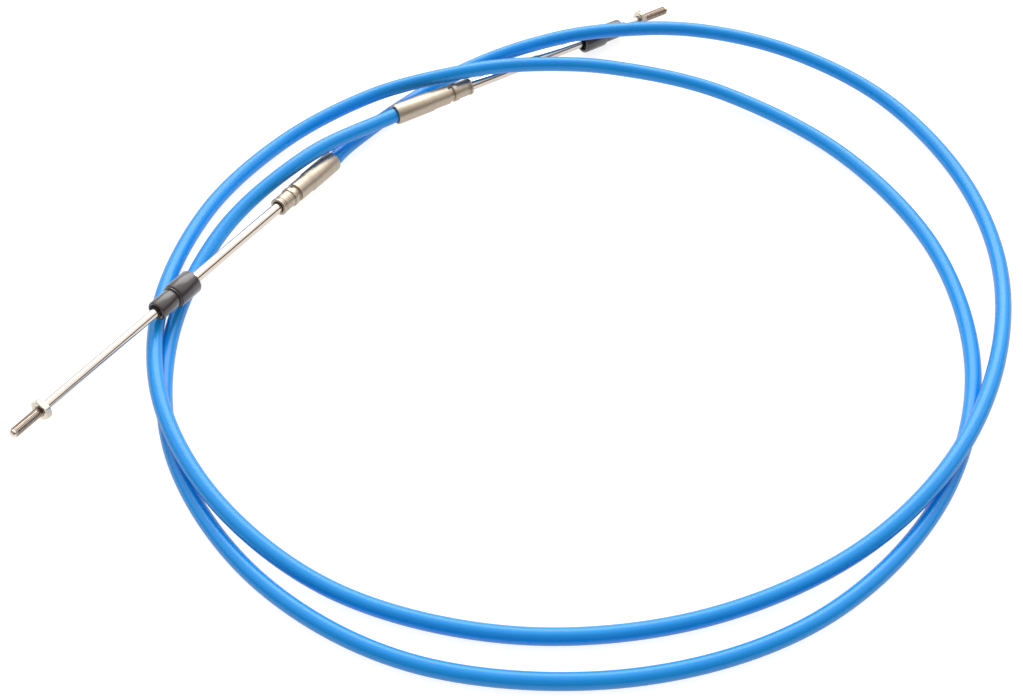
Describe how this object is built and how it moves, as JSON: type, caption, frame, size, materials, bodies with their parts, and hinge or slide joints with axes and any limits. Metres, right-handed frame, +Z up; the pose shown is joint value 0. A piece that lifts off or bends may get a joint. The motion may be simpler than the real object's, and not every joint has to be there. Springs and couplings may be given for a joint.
{
  "type": "boat control cable",
  "caption": "Push-pull control cable in a plastic jacket, lying in two loops, with a clamp hub, swivelling support tube, rubber wiper seal, threaded rod and jam nut at both ends.",
  "frame": {"origin": "on the floor under the middle of the box round the whole cable", "axes": "+Z up from the floor, +X along the cable's longest extent as it lies, with end A's rod pointing towards -X and -Y"},
  "size_m": [0.4848, 0.4618, 0.0353],
  "materials": {
    "jacket": "satin blue extruded plastic",
    "hub_steel": "turned and crimped stainless steel",
    "tube_steel": "drawn stainless tube",
    "rod_steel": "ground stainless rod with a rolled thread",
    "nut_steel": "machined stainless steel",
    "wiper_rubber": "moulded black rubber"
  },
  "bodies": {
    "casing": {"conduit_jacket": "jacket", "hub_a": "hub_steel", "hub_b": "hub_steel"},
    "swivel_a": {"support_tube_a": "tube_steel", "wiper_seal_a": "wiper_rubber"},
    "swivel_b": {"support_tube_b": "tube_steel", "wiper_seal_b": "wiper_rubber"},
    "end_rod_a": {"rod_a": "rod_steel", "jam_nut_a": "nut_steel"},
    "end_rod_b": {"rod_b": "rod_steel", "jam_nut_b": "nut_steel"}
  },
  "joints": [
    {"name": "swivel_a_turn", "type": "hinge", "parent": "casing", "child": "swivel_a", "pos_m": [-0.13606, 0.05772, 0.01025], "axis": [0, 0, 1], "range_deg": [-4, 4]},
    {"name": "swivel_b_turn", "type": "hinge", "parent": "casing", "child": "swivel_b", "pos_m": [-0.04265, 0.14885, 0.01173], "axis": [0, 0, 1], "range_deg": [-4, 4]},
    {"name": "rod_a_slide", "type": "slide", "parent": "swivel_a", "child": "end_rod_a", "axis": [-0.5182, -0.8489, 0.1045], "range_m": [-0.0665, 0.0095]},
    {"name": "rod_b_slide", "type": "slide", "parent": "swivel_b", "child": "end_rod_b", "axis": [0.828, 0.5585, -0.0488], "range_m": [-0.0095, 0.0665]}
  ],
  "couplings": [
    {"joint": "rod_b_slide", "follows": "rod_a_slide", "ratio": -1}
  ]
}
